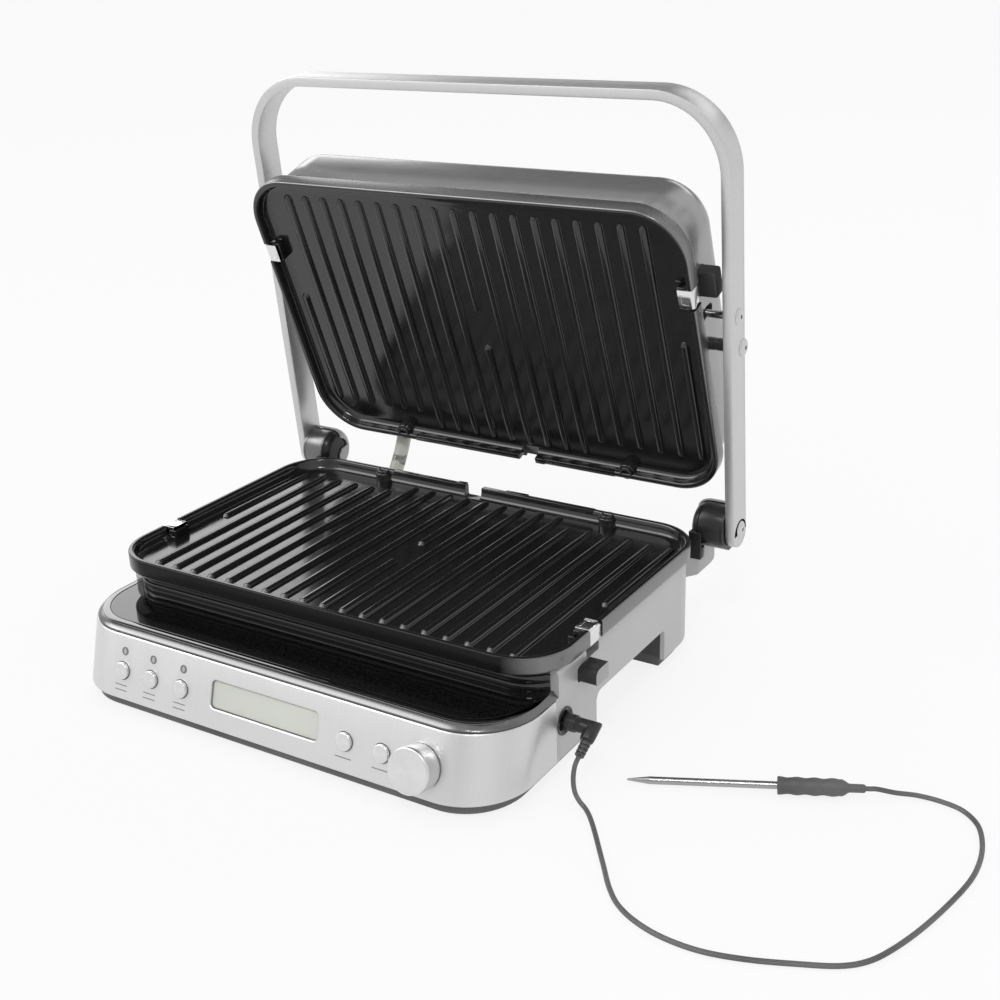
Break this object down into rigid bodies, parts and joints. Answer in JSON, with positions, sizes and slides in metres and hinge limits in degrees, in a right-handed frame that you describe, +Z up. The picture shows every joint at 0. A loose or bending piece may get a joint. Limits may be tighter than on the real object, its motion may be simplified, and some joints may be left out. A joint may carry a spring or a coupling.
{
  "type": "electric contact grill",
  "caption": "Electric indoor contact grill with ribbed plates, a floating lid on a U-shaped lift handle, a front control panel and a plug-in food probe on a cord.",
  "frame": {"origin": "middle of the bounding box without the probe and its cord, on the table under the feet", "axes": "+X to the right as the user faces the control panel, +Y to the rear, +Z up"},
  "size_m": [0.5551, 0.3562, 0.3483],
  "materials": {
    "housing_grey": "satin light grey",
    "lid_grey": "satin light grey",
    "plinth_dark": "matt",
    "foot_rubber": "matt",
    "fascia_steel": "brushed",
    "bezel_chrome": "smoked",
    "deck_black": "gloss",
    "pan_black": "matt",
    "reflector": "bright",
    "heater": "matt",
    "sensor": "plain",
    "plate_black": "non-stick coating, gloss",
    "clip_steel": "bright",
    "tab_black": "satin",
    "lens": "clear",
    "display_glass": "clear",
    "display": "grey green",
    "board": "green",
    "encoder": "plain",
    "button_grey": "satin",
    "knob_metal": "spun face",
    "socket_black": "satin",
    "tray_dark": "matt",
    "bracket_grey": "satin light grey",
    "hinge_black": "gloss",
    "pin_steel": "bright",
    "handle_metal": "brushed",
    "sleeve": "translucent",
    "plug_black": "satin",
    "cord_grey": "satin",
    "grip_grey": "matt",
    "needle_steel": "polished"
  },
  "bodies": {
    "base": {"base_housing": "housing_grey", "bottom_cover": "plinth_dark", "feet": "foot_rubber", "front_fascia": "fascia_steel", "deck_bezel": "bezel_chrome", "front_deck": "deck_black", "lower_heater_pan": "pan_black", "lower_reflector": "reflector", "lower_heating_element": "heater", "lower_plate_sensor": "sensor", "lower_grill_plate": "plate_black", "lower_clip_left": "clip_steel", "led_lenses": "lens", "lcd_window": "display_glass", "lcd_module": "display", "control_board": "board", "power_board": "board", "rotary_encoder": "encoder", "probe_socket": "socket_black", "mains_gland": "socket_black", "hinge_bracket_left": "bracket_grey", "hinge_bracket_right": "bracket_grey", "hinge_block_left": "hinge_black", "hinge_block_right": "hinge_black", "hinge_pins": "pin_steel", "cable_sleeve": "sleeve"},
    "handle": {"handle_bar": "handle_metal", "hinge_barrel_left": "hinge_black", "hinge_barrel_right": "hinge_black", "handle_screws": "pin_steel", "lid_pivots": "tab_black", "guide_pins": "pin_steel"},
    "lid": {"lid_shell": "lid_grey", "upper_heater_pan": "pan_black", "upper_reflector": "reflector", "upper_heating_element": "heater", "upper_plate_sensor": "sensor", "upper_grill_plate": "plate_black", "upper_clip_left": "clip_steel"},
    "lower_clip": {"lower_clip_right": "clip_steel"},
    "lower_release": {"lower_release_tab": "tab_black"},
    "upper_clip": {"upper_clip_right": "clip_steel"},
    "upper_release": {"upper_release_tab": "tab_black"},
    "knob": {"control_knob": "knob_metal"},
    "drip_tray": {"drip_tray": "tray_dark"},
    "probe": {"probe_plug": "plug_black", "probe_strain_relief": "plug_black", "probe_cord": "cord_grey", "probe_grip": "grip_grey", "probe_needle": "needle_steel"},
    "mode_button_1_body": {"mode_button_1": "button_grey"},
    "mode_button_2_body": {"mode_button_2": "button_grey"},
    "mode_button_3_body": {"mode_button_3": "button_grey"},
    "start_button_body": {"start_button": "button_grey"},
    "cancel_button_body": {"cancel_button": "button_grey"}
  },
  "joints": [
    {"name": "handle_hinge", "type": "hinge", "parent": "base", "child": "handle", "pos_m": [0, 0.1137, 0.0737], "axis": [1, 0, 0], "range_deg": [0, 74.56], "deforming": ["cable_sleeve"]},
    {"name": "lid_pivot", "type": "hinge", "parent": "handle", "child": "lid", "pos_m": [0, 0.10818, 0.19454], "axis": [1, 0, 0], "range_deg": [-5.2, 0]},
    {"name": "lower_release_slide", "type": "slide", "parent": "base", "child": "lower_release", "axis": [-1, 0, 0], "range_m": [0, 0.003], "stiffness_N_per_m": 500, "springref_m": -0.001},
    {"name": "lower_clip_slide", "type": "slide", "parent": "base", "child": "lower_clip", "axis": [1, 0, 0], "range_m": [0, 0.0038]},
    {"name": "upper_release_slide", "type": "slide", "parent": "lid", "child": "upper_release", "axis": [-1, 0, 0], "range_m": [0, 0.003], "stiffness_N_per_m": 500, "springref_m": -0.001},
    {"name": "upper_clip_slide", "type": "slide", "parent": "lid", "child": "upper_clip", "axis": [1, 0, 0], "range_m": [0, 0.0038]},
    {"name": "knob_turn", "type": "hinge", "parent": "base", "child": "knob", "pos_m": [0.1085, -0.15168, 0.0258], "axis": [0, -0.9636, 0.2672], "continuous": true},
    {"name": "drip_tray_slide", "type": "slide", "parent": "base", "child": "drip_tray", "axis": [0, 1, 0], "range_m": [0, 0.045]},
    {"name": "probe_plug_slide", "type": "slide", "parent": "base", "child": "probe", "axis": [1, 0, 0], "range_m": [0, 0.014]},
    {"name": "mode_button_1_press", "type": "slide", "parent": "base", "child": "mode_button_1_body", "axis": [0, 0.9636, -0.2672], "range_m": [0, 0.0012], "stiffness_N_per_m": 350, "springref_m": -0.001},
    {"name": "mode_button_2_press", "type": "slide", "parent": "base", "child": "mode_button_2_body", "axis": [0, 0.9636, -0.2672], "range_m": [0, 0.0012], "stiffness_N_per_m": 350, "springref_m": -0.001},
    {"name": "mode_button_3_press", "type": "slide", "parent": "base", "child": "mode_button_3_body", "axis": [0, 0.9636, -0.2672], "range_m": [0, 0.0012], "stiffness_N_per_m": 350, "springref_m": -0.001},
    {"name": "start_button_press", "type": "slide", "parent": "base", "child": "start_button_body", "axis": [0, 0.9636, -0.2672], "range_m": [0, 0.0012], "stiffness_N_per_m": 350, "springref_m": -0.001},
    {"name": "cancel_button_press", "type": "slide", "parent": "base", "child": "cancel_button_body", "axis": [0, 0.9636, -0.2672], "range_m": [0, 0.0012], "stiffness_N_per_m": 350, "springref_m": -0.001}
  ],
  "couplings": [
    {"joint": "lid_pivot", "follows": "handle_hinge", "ratio": -0.06684},
    {"joint": "lower_clip_slide", "follows": "lower_release_slide", "ratio": 1.2667},
    {"joint": "upper_clip_slide", "follows": "upper_release_slide", "ratio": 1.2667}
  ]
}
